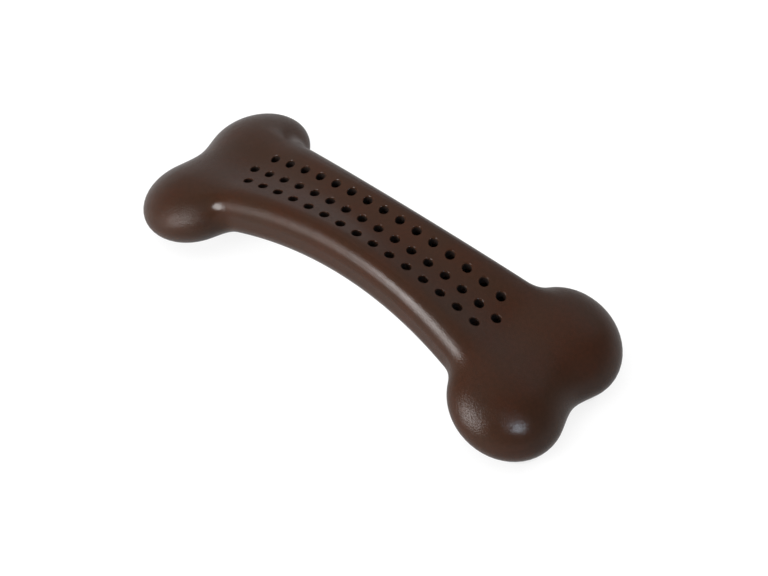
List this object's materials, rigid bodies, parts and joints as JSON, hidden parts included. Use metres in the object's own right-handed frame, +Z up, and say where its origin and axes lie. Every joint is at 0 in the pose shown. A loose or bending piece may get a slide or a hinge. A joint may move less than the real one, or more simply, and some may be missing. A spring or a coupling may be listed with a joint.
{
  "type": "fillable dog bone",
  "caption": "Hollow arched dog bone with rounded knobs, a dished perforated top, a screwed underside panel and a hinged fill hatch with a slide catch.",
  "frame": {"origin": "on the floor under the middle of the bone, midway between the four feet", "axes": "+X along the bone towards the free end of the hatch, +Y across it, +Z up out of the perforated top"},
  "size_m": [0.187, 0.074, 0.0398],
  "materials": {
    "shell_rubber": "satin",
    "panel_plastic": "satin",
    "hatch_plastic": "satin",
    "catch_plastic": "satin",
    "gasket_rubber": "matte",
    "foot_rubber": "matte",
    "steel": "brushed"
  },
  "bodies": {
    "bone": {"bone_shell": "shell_rubber", "base_panel": "panel_plastic", "panel_gasket": "gasket_rubber", "base_screw_1": "steel", "base_screw_2": "steel", "base_screw_3": "steel", "base_screw_4": "steel", "foot_1": "foot_rubber", "foot_2": "foot_rubber", "foot_3": "foot_rubber", "foot_4": "foot_rubber", "hinge_pin": "steel"},
    "hatch": {"fill_hatch": "hatch_plastic", "hatch_gasket": "gasket_rubber"},
    "catch": {"hatch_catch": "catch_plastic"}
  },
  "joints": [
    {"name": "hatch_hinge", "type": "hinge", "parent": "bone", "child": "hatch", "pos_m": [-0.0337, 0, 0.01477], "axis": [0, 1, 0], "range_deg": [0, 105]},
    {"name": "catch_slide", "type": "slide", "parent": "hatch", "child": "catch", "axis": [0.9913, 0, -0.1319], "range_m": [0, 0.004]}
  ]
}
